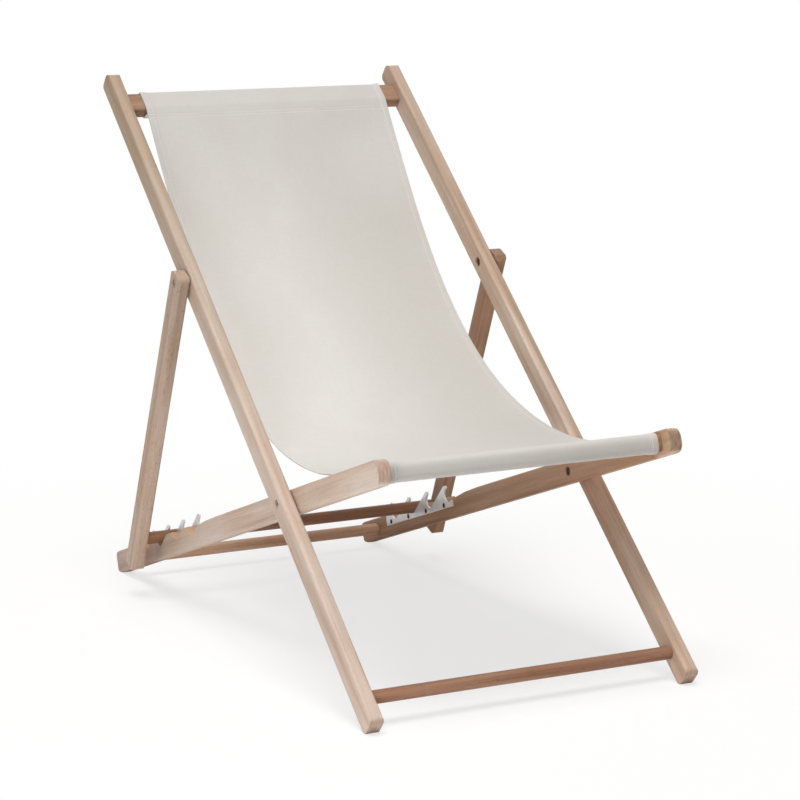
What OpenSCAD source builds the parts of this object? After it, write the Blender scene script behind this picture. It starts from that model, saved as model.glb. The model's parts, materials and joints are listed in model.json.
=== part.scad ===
// Folding wooden deck chair with a canvas sling, standing in its third notch.
// The main frame carries the back of the sling, the seat frame carries its front
// and the toothed racks, and the prop frame links the two.
// X runs across the chair, -Y is the front, +Z is up and the floor is z = 0.
// Rails are drawn flat first: t runs along a rail from its pivot, n square to it.

/* [Overall] */
// Width over the two prop legs
overall_w = 580; // [540:1:640]
// Side gap between two frames, filled by a washer at each pivot
side_gap = 2; // [1.6:0.1:3]
// Rounding along the long edges of the rails
edge_r = 4; // [1:0.5:6]
// Depth of the floor flats on the lowest corners
floor_cut = 1.5; // [0.5:0.1:2.5]
// Diameter of the three round rungs
rung_d = 20; // [18:0.5:22]

/* [Main frame] */
// Thickness of a main rail across the chair
main_t = 21; // [19:0.5:24]
// Depth of a main rail
main_h = 37; // [34:0.5:42]
// Pivot to the foot end
main_foot = 396; // [380:1:410]
// Pivot to the top end
main_top = 890; // [862:1:920]
// Corner radius of the feet
foot_r = 10; // [3:0.5:12]
// Corner radius of the top ends
top_r = 12; // [5:0.5:14]
// Seat pivot to prop pivot along the main rail
pivot_span = 438; // [430:1:446]
// Pivot to the foot rung
foot_rung_t = 346; // [325:1:360]
// Width of the flat top bar along the rail
top_bar_w = 39; // [32:0.5:41]
// Thickness of the flat top bar
top_bar_h = 20; // [16:0.5:22]
// Pivot to the middle of the top bar
top_bar_t = 833; // [822:1:838]
// Top bar set behind the middle of the rails
top_bar_back = 5; // [2:0.5:8]

/* [Seat frame] */
// Thickness of a seat rail across the chair
seat_t = 19.5; // [18:0.5:22]
// Depth of a seat rail
seat_h = 38; // [36:0.5:42]
// Pivot to the rear end on the floor
seat_rear = 767; // [755:1:780]
// Pivot to the front end
seat_front = 307; // [300:1:320]
// Corner radius of the rear ends
rear_r = 10; // [4:0.5:12]
// Corner radius of the front ends
front_r = 16; // [6:0.5:17.5]
// Width of the front bar along the rail
front_bar_w = 21; // [18:0.5:24]
// Depth of the front bar
front_bar_h = 26; // [22:0.5:32]
// Rounding of the front bar
front_bar_r = 8; // [5:0.5:9]
// Pivot to the middle of the front bar
front_bar_t = 274; // [266:1:280]
// Pivot to the rear rung
rear_rung_t = 705; // [695:1:720]
// Where the top edge starts to ease down to the racks
ease_t = 300; // [280:5:330]

/* [Prop frame] */
// Thickness of a prop leg across the chair
prop_t = 20; // [18:0.5:22]
// Depth of a prop leg
prop_h = 36; // [34:0.5:40]
// Leg beyond its pivot at the top
prop_top = 17; // [16:0.5:24]
// Pivot to the lower end
prop_foot = 546; // [535:1:560]
// Corner radius at the ends of the legs
prop_r = 11; // [5:0.5:13]
// Pivot to the prop rung along the leg
prop_rung_t = 489; // [484:1:494]
// Prop rung set ahead of the middle of the leg
prop_rung_n = 4; // [0:0.5:6]

/* [Racks] */
// Thickness of a rack plate
rack_t = 3; // [2:0.25:4]
// Pivot to the centre of the first notch
notch_t = 409.5; // [405:0.5:414]
// Distance from notch to notch
notch_pitch = 70; // [68:0.5:72]
// Notch that the prop rung rests in, counted from the front
notch_used = 3; // [1:1:4]
// Play between the prop rung and the bottom of its notch
notch_play = 0.35; // [0.3:0.05:0.6]
// Radius of a notch
notch_r = 12; // [11.5:0.1:12.5]
// Height of a notch centre above the middle of the rail
notch_n = 19.5; // [19:0.1:21]
// Radius of a hook nose
nose_r = 3.4; // [2.8:0.1:3.8]
// Nose centre behind the notch centre
nose_dt = 6.3; // [6:0.1:7.5]
// Nose centre above the middle of the rail
nose_n = 33; // [33:0.1:35]
// Radius of the crown behind a nose
crown_r = 5; // [4:0.5:6]
// Crown centre behind the nose centre
crown_dt = 2; // [1:0.5:4]
// Slope of the back of a tooth in degrees
ramp_a = 27; // [26:0.5:29]
// Plate ahead of the first notch centre
rack_lead = 12; // [8:0.5:13]
// Height of the plate there, above the middle of the rail
lead_n = 9.8; // [8.5:0.1:11]
// Plate edge below the middle of the rail
rack_low = 1; // [0.5:0.5:2]
// Screws behind the notch centres
screw_dt = 18.5; // [16:0.5:28]
// Screws above the middle of the rail
screw_n = 4.5; // [4:0.5:6]
// Plate behind the last notch centre
rack_tail = 37; // [34:1:42]
// Wood cut back below the rack edge
wood_back = 3.5; // [2.5:0.5:5]
// Wood between the notches below the top edge of the rail
hump_cut = 0.8; // [0.5:0.1:3]

/* [Sling] */
// Gap from the racks to each side edge of the sling
sling_side = 4.5; // [3:0.5:8]
// Canvas thickness
sling_c = 1.4; // [1.2:0.1:2]
// Ease of the sleeves round their bars
sleeve_gap = 0.5; // [0.4:0.1:1]
// Top bar to the seam of the top sleeve
top_seam = 19; // [12:1:30]
// Front bar to the seam of the front sleeve
front_seam = 26; // [20:1:35]
// Lowest point of the seat ahead of the pivot
low_y = 15; // [0:1:30]
// Lowest point of the seat above the pivot
low_z = 54; // [48:1:62]
// Angle of the back where it leaves the top sleeve
back_a = 59; // [56:0.5:61]

/* [Hardware] */
// Bolt shank diameter
bolt_d = 8; // [6:0.5:9]
// Bolt head diameter
head_d = 12; // [11:0.5:14]
// Nut diameter
nut_d = 14; // [13:0.5:16]
// Bolt head thickness
head_h = 4; // [3:0.25:5]
// Nut thickness
nut_h = 4; // [3:0.25:5]
// Depth of heads and nuts below the wood
sink = 2.4; // [0.5:0.1:3.5]
// Washer diameter
washer_d = 24; // [18:1:28]
// Rack screw shank diameter
screw_d = 4; // [3.5:0.25:4.5]
// Rack screw head diameter
screw_head_d = 8.5; // [7.5:0.25:9]
// Rack screw length
screw_l = 15; // [12:0.5:17]
// Locking pin diameter
pin_d = 3; // [2.5:0.25:4]
// Tenon diameter on all bars
tenon_d = 13; // [11:0.5:14]
// Tenon length
tenon_l = 13; // [10:0.5:14]
// Radial play of fixed round fits
fit = 0.05; // [0.03:0.01:0.1]
// Radial play of a rail turning on its bolt
turn_fit = 0.08; // [0.04:0.01:0.1]
// Side play of the turning frames
end_play = 0.1; // [0.05:0.01:0.2]

/* [Hidden] */
$fn = 64;

// Planes across the chair, from the outside in
x_prop = overall_w / 2;
x_prop_in = x_prop - prop_t;
x_main = x_prop_in - side_gap;
x_main_in = x_main - main_t;
x_seat = x_main_in - side_gap;
x_seat_in = x_seat - seat_t;
x_rack = x_seat_in - rack_t;
x_sling = x_rack - sling_side;

// Prop rung in its notch, seen from the seat rail
rung_t = notch_t + (notch_used - 1) * notch_pitch;
rung_n = notch_n - (notch_r - rung_d / 2) + notch_play;
rung_reach = norm([rung_t, rung_n]);
prop_reach = norm([prop_rung_t, prop_rung_n]);

// Angle between the main and seat rails, from the triangle of the three frames
cos_open = (pow(pivot_span, 2) + pow(rung_reach, 2) - pow(prop_reach, 2)) / (2 * pivot_span * rung_reach);
open_a = acos(cos_open) + atan2(rung_n, rung_t);

// Both lowest corners stand on the floor
fa = (main_foot - foot_r) + (seat_rear - rear_r) * cos(open_a) - (seat_h / 2 - rear_r) * sin(open_a);
fb = (main_h / 2 - foot_r) - (seat_rear - rear_r) * sin(open_a) - (seat_h / 2 - rear_r) * cos(open_a);
theta_m = asin((rear_r - foot_r) / norm([fa, fb])) - atan2(fb, fa);
theta_s = open_a - theta_m;
p1_z = (main_foot - foot_r) * sin(theta_m) + (main_h / 2 - foot_r) * cos(theta_m) + foot_r - floor_cut;
y_front = (main_foot - foot_r) * cos(theta_m) + (main_h / 2 - foot_r) * sin(theta_m) + foot_r;
y_rear = (seat_rear - rear_r) * cos(theta_s) + (seat_h / 2 - rear_r) * sin(theta_s) + rear_r;
p1_y = (y_front - y_rear) / 2;

// Prop frame, hung from the main frame and ending at its rung
p2_y = p1_y + pivot_span * cos(theta_m);
p2_z = p1_z + pivot_span * sin(theta_m);
rung_y = p1_y + rung_t * cos(theta_s) + rung_n * sin(theta_s);
rung_z = p1_z - rung_t * sin(theta_s) + rung_n * cos(theta_s);
theta_p = -atan2(rung_z - p2_z, rung_y - p2_y) - atan2(prop_rung_n, prop_rung_t);

// Faces of the bars that the sling wraps
top_face = top_bar_h / 2 - top_bar_back;
top_low = top_bar_t - top_bar_w / 2;
front_face = front_bar_h / 2 + 1;
front_back = -front_bar_t + front_bar_w / 2;
rack_end = notch_t + 3 * notch_pitch + rack_tail;
screw_t = notch_t + screw_dt;

// Placing of the three frames
module at_main() translate([0, p1_y, p1_z]) rotate([theta_m, 0, 0]) children();
module at_seat() translate([0, p1_y, p1_z]) rotate([-theta_s, 0, 0]) children();
module at_prop() translate([0, p2_y, p2_z]) rotate([-theta_p, 0, 0]) children();

// The right side as drawn, the left side as its mirror image
module side(s) mirror([s < 0 ? 1 : 0, 0, 0]) children();
module both() {
  side(1) children();
  side(-1) children();
}

// A flat outline made into a board across the chair
module slab(x0, x1) translate([x0, 0, 0]) rotate([90, 0, 90]) linear_extrude(x1 - x0) children();
// A cross section run along a rail
module along(t0, t1) translate([0, t1, 0]) rotate([90, 0, 0]) linear_extrude(t1 - t0) children();
// A round rod or hole across the chair
module across(x0, x1, d, t = 0, n = 0) translate([x0, t, n]) rotate([0, 90, 0]) cylinder(d = d, h = x1 - x0);

module soft_box(x0, x1, y0, y1, r) {
  translate([x0 + r, y0]) square([x1 - x0 - 2 * r, y1 - y0]);
  translate([x0, y0 + r]) square([x1 - x0, y1 - y0 - 2 * r]);
  for (x = [x0 + r, x1 - r])
    for (y = [y0 + r, y1 - r])
      translate([x, y]) circle(r);
}

module rail_outline(t0, t1, h, r0, r1) {
  translate([t0 + r0, -h / 2]) square([t1 - t0 - r0 - r1, h]);
  translate([t0, r0 - h / 2]) square([2 * r0, h - 2 * r0]);
  translate([t1 - 2 * r1, r1 - h / 2]) square([2 * r1, h - 2 * r1]);
  for (s = [-1, 1]) {
    translate([t0 + r0, s * (h / 2 - r0)]) circle(r0);
    translate([t1 - r1, s * (h / 2 - r1)]) circle(r1);
  }
}

// A rail with its own side outline and rounded long edges
module rail(x0, x1, t0, t1, h) intersection() {
  slab(x0, x1) children();
  along(t0 - 1, t1 + 1) soft_box(x0, x1, -h / 2, h / 2, edge_r);
}

module floor_block() translate([-overall_w, -2 * main_top, -100]) cube([2 * overall_w, 4 * main_top, 100]);

// Locking pin square to the rail, from its edge through the tenon
module pin(x, t, n0, n1, d) translate([x, t, min(n0, n1)]) cylinder(d = d, h = abs(n1 - n0));

// Main frame
module main_rail(s) color([0.80, 0.68, 0.56]) difference() {
  at_main() side(s) difference() {
    rail(x_main_in, x_main, -main_foot, main_top, main_h)
      rail_outline(-main_foot, main_top, main_h, foot_r, top_r);
    across(x_main_in - 1, x_main + 1, bolt_d + 2 * fit);
    across(x_main - sink - head_h, x_main + 1, head_d + 1);
    across(x_main_in - 1, x_main + 1, bolt_d + 2 * fit, pivot_span);
    across(x_main_in - 1, x_main_in + sink + nut_h, nut_d + 1, pivot_span);
    across(x_main_in - 1, x_main_in + tenon_l + 1, tenon_d + 2 * fit, -foot_rung_t);
    across(x_main_in - 1, x_main_in + tenon_l + 1, tenon_d + 2 * fit, top_bar_t, -top_bar_back);
    pin(x_main_in + tenon_l / 2, -foot_rung_t, -main_h, tenon_d / 2 + 1, pin_d + 2 * fit);
    pin(x_main_in + tenon_l / 2, top_bar_t, -main_h, tenon_d / 2 + 1 - top_bar_back, pin_d + 2 * fit);
  }
  floor_block();
}

module main_rail_left() main_rail(-1);
module main_rail_right() main_rail(1);

module tenons(x, t, n, n_edge) both() difference() {
  across(x - 1, x + tenon_l, tenon_d, t, n);
  pin(x + tenon_l / 2, t, n_edge, n + tenon_d / 2 + 1, pin_d + 2 * fit);
}

module top_bar() color([0.74, 0.60, 0.47]) at_main() {
  slab(-x_main_in + fit, x_main_in - fit) translate([top_bar_t, -top_bar_back])
    soft_box(-top_bar_w / 2, top_bar_w / 2, -top_bar_h / 2, top_bar_h / 2, edge_r);
  tenons(x_main_in, top_bar_t, -top_bar_back, -main_h);
}

module foot_rung() color([0.62, 0.46, 0.34]) at_main() {
  across(-x_main_in + fit, x_main_in - fit, rung_d, -foot_rung_t);
  tenons(x_main_in, -foot_rung_t, 0, -main_h);
}

module main_pins() color([0.66, 0.66, 0.68]) at_main() both() {
  pin(x_main_in + tenon_l / 2, -foot_rung_t, 1 - main_h / 2, tenon_d / 2 + 0.5, pin_d);
  pin(x_main_in + tenon_l / 2, top_bar_t, 1 - main_h / 2, tenon_d / 2 + 0.5 - top_bar_back, pin_d);
}

// Pivot bolt from the outside at x, head h_out below the wood, to the nut side at x1
module bolt(x, x1) difference() {
  union() {
    across(x - sink - head_h, x - sink - 1, head_d);
    translate([x - sink - 1, 0, 0]) rotate([0, 90, 0]) cylinder(d1 = head_d, d2 = head_d - 2, h = 1);
    across(x1, x - sink - head_h + 0.5, bolt_d);
  }
  translate([x - sink - 2.5, 0, 0]) rotate([0, 90, 0]) cylinder(d = bolt_d * 0.65, h = 5, $fn = 6);
}

module nut(x) difference() {
  union() {
    across(x + sink + 0.8, x + sink + nut_h, nut_d);
    translate([x + sink, 0, 0]) rotate([0, 90, 0]) cylinder(d1 = nut_d - 1.6, d2 = nut_d, h = 0.8);
  }
  across(x - 1, x + sink + nut_h + 1, bolt_d + 2 * fit);
  for (a = [0, 90])
    rotate([a, 0, 0]) translate([x + sink - 1, -nut_d, -1]) cube([2.2, 2 * nut_d, 2]);
}

module seat_bolts() color([0.58, 0.58, 0.60]) at_main() both() bolt(x_main, x_seat_in + sink);
module prop_bolts() color([0.58, 0.58, 0.60]) at_prop() both() bolt(x_prop, x_main_in + sink);
module seat_nuts() color([0.58, 0.58, 0.60]) at_main() both() nut(x_seat_in);
module prop_nuts() color([0.58, 0.58, 0.60]) at_main() both() translate([0, pivot_span, 0]) nut(x_main_in);

module washer(x) difference() {
  across(x, x + side_gap - end_play, washer_d);
  across(x - 1, x + side_gap + 1, bolt_d + 4 * fit);
}

module seat_washers() color([0.70, 0.70, 0.72]) at_main() both() washer(x_seat + end_play);
module prop_washers() color([0.70, 0.70, 0.72]) at_main() both() translate([0, pivot_span, 0]) washer(x_main);

// Seat frame
function notch(k) = notch_t + k * notch_pitch;

// Scallops in the wood, wider than the notches so that the rack edge stands proud
module scallops() for (k = [0:3]) translate([notch(k), notch_n]) {
  circle(notch_r + wood_back);
  rotate(-ramp_a) translate([-60, 0.8 - notch_r - wood_back]) square([60, 60]);
}

module seat_outline() difference() {
  rail_outline(-seat_front, seat_rear, seat_h, front_r, rear_r);
  polygon([[ease_t - 25, seat_h / 2 + 1], [ease_t + 50, seat_h / 2 - 2], [notch_t - 34, seat_h / 2 - 5],
    [notch_t, seat_h / 2 - 8], [notch_t, seat_h / 2 - hump_cut], [rack_end - 4, seat_h / 2 - hump_cut],
    [rack_end + 60, seat_h / 2 + 1], [rack_end + 60, seat_h], [ease_t - 25, seat_h]]);
  scallops();
}

module seat_rail(s) color([0.78, 0.65, 0.53]) difference() {
  at_seat() side(s) difference() {
    rail(x_seat_in, x_seat, -seat_front, seat_rear, seat_h) seat_outline();
    across(x_seat_in - 1, x_seat + 1, bolt_d + 2 * turn_fit);
    across(x_seat_in - 1, x_seat_in + sink + nut_h + end_play, nut_d + 1);
    across(x_seat_in - 1, x_seat_in + tenon_l + 1, tenon_d + 2 * fit, -front_bar_t, 1);
    across(x_seat_in - 1, x_seat_in + tenon_l + 1, tenon_d + 2 * fit, rear_rung_t);
    pin(x_seat_in + tenon_l / 2, -front_bar_t, -seat_h, tenon_d / 2 + 2, pin_d + 2 * fit);
    pin(x_seat_in + tenon_l / 2, rear_rung_t, -seat_h, tenon_d / 2 + 1, pin_d + 2 * fit);
    rack_screw_spots() across(x_seat_in - 1, x_rack + screw_l + 1, screw_d + 2 * fit);
  }
  floor_block();
}

module seat_rail_left() seat_rail(-1);
module seat_rail_right() seat_rail(1);

module front_bar() color([0.70, 0.56, 0.43]) at_seat() {
  slab(-x_seat_in + fit, x_seat_in - fit) translate([-front_bar_t, 1])
    soft_box(-front_bar_w / 2, front_bar_w / 2, -front_bar_h / 2, front_bar_h / 2, front_bar_r);
  tenons(x_seat_in, -front_bar_t, 1, -seat_h);
}

module rear_rung() color([0.66, 0.51, 0.38]) at_seat() {
  across(-x_seat_in + fit, x_seat_in - fit, rung_d, rear_rung_t);
  tenons(x_seat_in, rear_rung_t, 0, -seat_h);
}

module seat_pins() color([0.66, 0.66, 0.68]) at_seat() both() {
  pin(x_seat_in + tenon_l / 2, -front_bar_t, 1 - seat_h / 2, tenon_d / 2 + 1.5, pin_d);
  pin(x_seat_in + tenon_l / 2, rear_rung_t, 1 - seat_h / 2, tenon_d / 2 + 0.5, pin_d);
}

// Racks: hook-nosed teeth behind round notches
module rack_screw_spots() for (k = [0:3]) translate([0, screw_t + k * notch_pitch, screw_n])
  children();

module tooth(k, last) {
  t0 = notch(k);
  crown_t = t0 + nose_dt + crown_dt;
  crown_n = nose_n + nose_r - crown_r;
  top_t = crown_t + crown_r * sin(ramp_a);
  top_n = crown_n + crown_r * cos(ramp_a);
  end_t = last ? rack_end : notch(k + 1);
  polygon([[end_t, -rack_low], [end_t, top_n - (end_t - top_t) * tan(ramp_a)], [top_t, top_n],
    [crown_t, nose_n + nose_r], [t0 + nose_dt, nose_n + nose_r], [t0 + nose_dt, nose_n], [t0, notch_n],
    [t0, -rack_low]]);
  translate([t0 + nose_dt, nose_n]) circle(nose_r);
  translate([crown_t, crown_n]) circle(crown_r);
}

module rack_outline() intersection() {
  difference() {
    union() {
      translate([notch_t - rack_lead, -rack_low]) square([rack_lead + 1, lead_n - 2.5 + rack_low]);
      translate([notch_t - rack_lead + 2.5, -rack_low]) square([rack_lead - 1.5, lead_n + rack_low]);
      translate([notch_t - rack_lead + 2.5, lead_n - 2.5]) circle(2.5);
      for (k = [0:3])
        tooth(k, k == 3);
    }
    for (k = [0:3])
      translate([notch(k), notch_n]) circle(notch_r);
  }
  union() {
    translate([notch_t - rack_lead, -rack_low]) square([rack_end - 15 - notch_t + rack_lead, 2 * seat_h]);
    translate([rack_end - 15 - 0.01, -rack_low]) square([15.01, 8 + rack_low]);
    translate([rack_end - 15, 8]) circle(15);
  }
}

module rack() difference() {
  slab(x_rack, x_seat_in) rack_outline();
  rack_screw_spots() {
    across(x_rack - 1, x_seat_in + 1, screw_d + 2 * fit);
    translate([x_rack, 0, 0]) rotate([0, 90, 0]) cylinder(d1 = screw_head_d + 4 * fit,
      d2 = screw_d + 2 * fit, h = (screw_head_d - screw_d) / 2 + fit);
  }
}

module rack_left() color([0.84, 0.85, 0.86]) at_seat() side(-1) rack();
module rack_right() color([0.84, 0.85, 0.86]) at_seat() side(1) rack();

module rack_screws() color([0.20, 0.20, 0.22]) at_seat() both() rack_screw_spots() difference() {
  union() {
    translate([x_rack + fit, 0, 0]) rotate([0, 90, 0])
      cylinder(d1 = screw_head_d, d2 = screw_d - 0.2, h = (screw_head_d - screw_d) / 2 + 0.1);
    across(x_rack + 0.5, x_rack + screw_l, screw_d);
  }
  for (a = [0, 90])
    rotate([a, 0, 0]) translate([x_rack - 1, -2.3, -0.5]) cube([2.4, 4.6, 1]);
}

// Prop frame
module prop_leg(s) color([0.77, 0.64, 0.53]) at_prop() side(s) difference() {
  rail(x_prop_in, x_prop, -prop_top, prop_foot, prop_h)
    rail_outline(-prop_top, prop_foot, prop_h, prop_r, prop_r);
  across(x_prop_in - 1, x_prop + 1, bolt_d + 2 * turn_fit);
  across(x_prop - sink - head_h - end_play, x_prop + 1, head_d + 1);
  across(x_prop_in - 1, x_prop_in + tenon_l + 1, tenon_d + 2 * fit, prop_rung_t, -prop_rung_n);
  pin(x_prop_in + tenon_l / 2, prop_rung_t, prop_h, -tenon_d / 2 - 1 - prop_rung_n, pin_d + 2 * fit);
}

module prop_leg_left() prop_leg(-1);
module prop_leg_right() prop_leg(1);

module prop_rung() color([0.60, 0.44, 0.32]) at_prop() {
  across(-x_prop_in + fit, x_prop_in - fit, rung_d, prop_rung_t, -prop_rung_n);
  both() difference() {
    across(x_prop_in - 1, x_prop_in + tenon_l, tenon_d, prop_rung_t, -prop_rung_n);
    pin(x_prop_in + tenon_l / 2, prop_rung_t, prop_h, -tenon_d / 2 - 1 - prop_rung_n, pin_d + 2 * fit);
  }
}

module prop_pins() color([0.66, 0.66, 0.68]) at_prop() both()
  pin(x_prop_in + tenon_l / 2, prop_rung_t, prop_h / 2 - 1, -tenon_d / 2 - 0.5 - prop_rung_n, pin_d);

// Sling: one smooth curve from the top sleeve through the lowest point to the front sleeve
function turn(p, a) = [p[0] * cos(a) - p[1] * sin(a), p[0] * sin(a) + p[1] * cos(a)];
function bez(p, u) = pow(1 - u, 3) * p[0] + 3 * pow(1 - u, 2) * u * p[1] + 3 * (1 - u) * u * u * p[2]
  + pow(u, 3) * p[3];
function bez_dir(p, u) = pow(1 - u, 2) * (p[1] - p[0]) + 2 * (1 - u) * u * (p[2] - p[1])
  + u * u * (p[3] - p[2]);
function beside(p, u, d) = let (v = bez_dir(p, u)) bez(p, u) + d / norm(v) * [-v[1], v[0]];

seam_top = turn([top_low - top_seam + 3, top_face + sleeve_gap + sling_c / 2], theta_m);
seam_low = [-low_y, low_z];
seam_front = turn([front_back + front_seam - 3, front_face + sleeve_gap + sling_c / 2], -theta_s);
back_len = norm(seam_top - seam_low);
lap_len = norm(seam_low - seam_front);
back_curve = [seam_top, seam_top - 0.43 * back_len * [cos(back_a), sin(back_a)],
  seam_low + [0.35 * back_len, 0], seam_low];
lap_curve = [seam_low, seam_low - [0.33 * lap_len, 0],
  seam_front + 0.33 * lap_len * [cos(3 - theta_s), sin(3 - theta_s)], seam_front];

module panel(curve, steps) polygon(concat(
  [for (i = [0:steps]) beside(curve, i / steps, -sling_c / 2)],
  [for (i = [steps:-1:0]) beside(curve, i / steps, sling_c / 2)]));

module top_sleeve() {
  g = sleeve_gap;
  o = g + sling_c;
  c = [top_bar_t, -top_bar_back];
  w = top_bar_w / 2;
  h = top_bar_h / 2;
  difference() {
    union() {
      translate(c) soft_box(-w - o, w + o, -h - o, h + o, edge_r + o);
      polygon([[c[0], top_face + o], [top_low - top_seam, top_face + o],
        [top_low - top_seam, top_face + g - sling_c], [top_low + edge_r, c[1] - h - o]]);
    }
    translate(c) soft_box(-w - g, w + g, -h - g, h + g, edge_r + g);
    polygon([[c[0], top_face + g], [top_low - top_seam + 5, top_face + g], [top_low + edge_r, c[1] - h - g]]);
  }
}

module front_sleeve() {
  g = sleeve_gap;
  o = g + sling_c;
  c = [-front_bar_t, 1];
  w = front_bar_w / 2;
  h = front_bar_h / 2;
  r = front_bar_r;
  difference() {
    union() {
      translate(c) soft_box(-w - o, w + o, -h - o, h + o, r + o);
      polygon([[c[0], c[1] - h - o + 1], [front_back + o, c[1] - h + r],
        [front_back + front_seam, front_face + g - sling_c], [front_back + front_seam, front_face + o],
        [c[0], front_face + o]]);
    }
    translate(c) soft_box(-w - g, w + g, -h - g, h + g, r + g);
    polygon([[c[0], c[1] - h], [front_back + g, c[1] - h + r], [front_back + front_seam - 5, front_face + g],
      [c[0], front_face + g]]);
  }
}

module sling() color([0.90, 0.88, 0.85]) slab(-x_sling, x_sling) translate([p1_y, p1_z]) {
  rotate(theta_m) top_sleeve();
  panel(back_curve, 30);
  panel(lap_curve, 12);
  rotate(-theta_s) front_sleeve();
}

main_rail_left();
main_rail_right();
top_bar();
foot_rung();
main_pins();
seat_bolts();
seat_nuts();
seat_washers();
prop_bolts();
prop_nuts();
prop_washers();
seat_rail_left();
seat_rail_right();
front_bar();
rear_rung();
seat_pins();
rack_left();
rack_right();
rack_screws();
prop_leg_left();
prop_leg_right();
prop_rung();
prop_pins();
sling();
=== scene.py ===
# %% [markdown]
# A folding deck chair: beech frames, pale metal racks and a canvas sling. The rigid
# pieces come from the CAD model and only get new surfaces here. The sling is soft, so
# it is woven again below as one sheet of cloth that wraps both bars.

# %% Load the frame
import json
from math import acos, atan2, cos, degrees, pi, radians, sin

import bpy
import numpy as np
from mathutils import Matrix, Vector, noise


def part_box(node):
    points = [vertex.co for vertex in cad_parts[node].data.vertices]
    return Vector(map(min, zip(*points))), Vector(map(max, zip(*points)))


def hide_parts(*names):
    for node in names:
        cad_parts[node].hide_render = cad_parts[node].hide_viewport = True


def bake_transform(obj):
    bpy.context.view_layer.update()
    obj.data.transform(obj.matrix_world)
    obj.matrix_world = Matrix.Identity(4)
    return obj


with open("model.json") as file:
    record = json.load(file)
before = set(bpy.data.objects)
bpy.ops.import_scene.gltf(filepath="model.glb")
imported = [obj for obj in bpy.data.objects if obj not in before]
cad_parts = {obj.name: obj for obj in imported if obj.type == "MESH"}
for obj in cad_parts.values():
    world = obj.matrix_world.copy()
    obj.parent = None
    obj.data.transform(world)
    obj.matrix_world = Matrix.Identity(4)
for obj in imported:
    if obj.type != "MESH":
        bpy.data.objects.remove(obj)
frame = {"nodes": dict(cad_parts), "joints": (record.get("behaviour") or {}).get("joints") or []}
NODES = frame["nodes"]
JOINTS = {joint["name"]: joint for joint in frame["joints"]}


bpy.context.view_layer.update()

# %% [markdown]
# Three frames cross each other, so each has its own slope. The slopes could be typed in,
# but the joints and the rungs already hold them. Knowing the two pivots and the slopes,
# wood grain can run along every rail, and the cloth can be laid out in the same flat
# sketches that a maker would draw: t runs along a rail from its pivot, n stands on it.

# %% Pivots and slopes of the three frames
SEAT_PIVOT = Vector(JOINTS["frame_fold"]["pos_m"])
PROP_PIVOT = Vector(JOINTS["prop_swing"]["pos_m"])
MAIN_SLOPE = atan2(PROP_PIVOT.z - SEAT_PIVOT.z, PROP_PIVOT.y - SEAT_PIVOT.y)


def middle(node):
    low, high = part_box(node)
    return (low + high) / 2


REAR_RUNG = middle("rear_rung")
SEAT_SLOPE = atan2(REAR_RUNG.z - SEAT_PIVOT.z, REAR_RUNG.y - SEAT_PIVOT.y)
PROP_RUNG = middle("prop_rung")
PROP_SLOPE = atan2(PROP_RUNG.z - PROP_PIVOT.z, PROP_RUNG.y - PROP_PIVOT.y)
print("slopes", [round(degrees(slope), 2) for slope in (MAIN_SLOPE, SEAT_SLOPE, PROP_SLOPE)])

# %% [markdown]
# The camera stands at the front left and a little above the seat, with a long lens, as
# a product picture is taken. Its three directions are worked out from the angles, which
# is surer than turning it by eye. A small shift of the lens sets the chair in the picture.

# %% Camera
CAMERA_PLACE = Vector((-1.8153, -3.6742, 1.1353))
AZIMUTH, ELEVATION, ROLL = radians(26.76), radians(9.63), radians(-0.17)
LENS_MM, SENSOR_MM = 119.36, 36
SHIFT_RIGHT, SHIFT_UP = 0.0029, -0.0603
VIEW_REACH = 60
ahead = Vector((sin(AZIMUTH) * cos(ELEVATION), cos(AZIMUTH) * cos(ELEVATION), -sin(ELEVATION)))
across = Vector((cos(AZIMUTH), -sin(AZIMUTH), 0))
above = across.cross(ahead)
right = across * cos(ROLL) + above * sin(ROLL)
up = above * cos(ROLL) - across * sin(ROLL)
lens_data = bpy.data.cameras.new("camera")
lens_data.lens, lens_data.sensor_width = LENS_MM, SENSOR_MM
lens_data.shift_x, lens_data.shift_y = SHIFT_RIGHT, SHIFT_UP
lens_data.clip_end = VIEW_REACH
camera = bpy.data.objects.new("camera", lens_data)
turned = Matrix((right, up, -ahead)).transposed().to_4x4()
camera.matrix_world = Matrix.Translation(CAMERA_PLACE) @ turned
bpy.context.scene.collection.objects.link(camera)
bpy.context.scene.camera = camera
print("camera at", [round(v, 3) for v in CAMERA_PLACE])

# %% [markdown]
# Colours are written as the hex values that a paint or picture program shows. Blender
# mixes light, so each value is turned to linear first. One helper adds a node, sets it,
# links it and places the stops of a colour ramp, which keeps the materials readable.

# %% Colour and node helpers
def linear(code):
    """A hex colour as linear red, green, blue and alpha, by the sRGB curve."""
    parts = [int(code[i:i + 2], 16) / 255 for i in (1, 3, 5)]
    return tuple(c / 12.92 if c <= 0.04045 else ((c + 0.055) / 1.055) ** 2.4 for c in parts) + (1.0,)


def grey(value):
    """A factor that dims or lifts all three colours alike."""
    return (value, value, value, 1.0)


def add_node(tree, kind, sockets=None, stops=(), **settings):
    """A socket that is given a value keeps it, and one that is given a socket is linked to it."""
    node = tree.nodes.new(kind)
    for name, value in settings.items():
        setattr(node, name, value)
    for name, value in (sockets or {}).items():
        socket = node.inputs[name]
        if isinstance(value, bpy.types.NodeSocket):
            tree.links.new(value, socket)
        else:
            socket.default_value = value
    if stops:
        elements = node.color_ramp.elements
        elements.remove(elements[1])
        elements[0].position, elements[0].color = stops[0]
        for place, colour in stops[1:]:
            elements.new(place).color = colour
    return node


def new_material(name):
    material = bpy.data.materials.new(name)
    material.use_nodes = True
    material.node_tree.nodes.clear()
    return material, material.node_tree


print("white is", linear("#FFFFFF"), "and middle grey", [round(v, 3) for v in linear("#808080")])

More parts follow.
